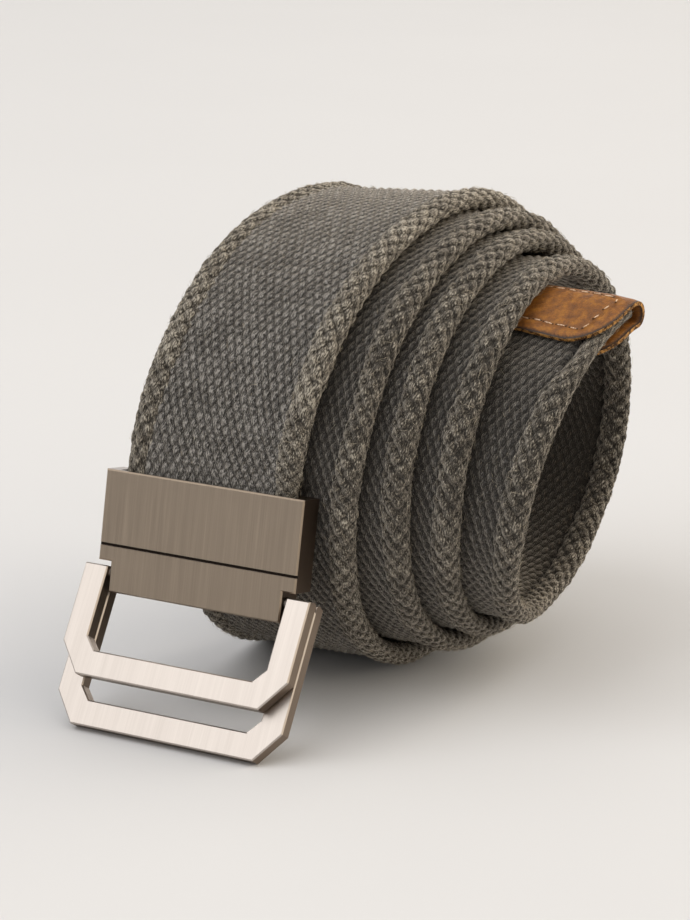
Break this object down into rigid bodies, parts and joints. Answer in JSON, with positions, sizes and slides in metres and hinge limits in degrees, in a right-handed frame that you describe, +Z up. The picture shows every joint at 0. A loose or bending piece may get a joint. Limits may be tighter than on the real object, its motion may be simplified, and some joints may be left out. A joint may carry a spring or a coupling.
{
  "type": "webbing belt",
  "caption": "Thick woven webbing belt rolled up on its side, with a block clasp, flat rings hinged to it and a leather-folded end.",
  "frame": {"origin": "middle of the box's bottom, on the floor the belt lies on", "axes": "+X along the roll towards its open narrow end, -Y the front with the clasp, +Z up"},
  "size_m": [0.094, 0.1189, 0.0975],
  "materials": {
    "strap": "matte heathered charcoal webbing",
    "leather_tip": "waxed tan, cut edges bare",
    "clasp_block": "brushed, brownish antique tint",
    "front_ring": "bright brushed",
    "rear_ring": "bright brushed"
  },
  "bodies": {
    "belt": {"strap": "strap", "leather_tip": "leather_tip", "clasp_block": "clasp_block"},
    "front": {"front_ring": "front_ring"},
    "rear": {"rear_ring": "rear_ring"}
  },
  "joints": [
    {"name": "front_ring_hinge", "type": "hinge", "parent": "belt", "child": "front", "pos_m": [-0.02206, -0.04399, 0.02762], "axis": [-1, 0, 0], "range_deg": [0, 75]},
    {"name": "rear_ring_hinge", "type": "hinge", "parent": "belt", "child": "rear", "pos_m": [-0.02206, -0.04195, 0.02627], "axis": [-1, 0, 0], "range_deg": [-45, 0]}
  ]
}
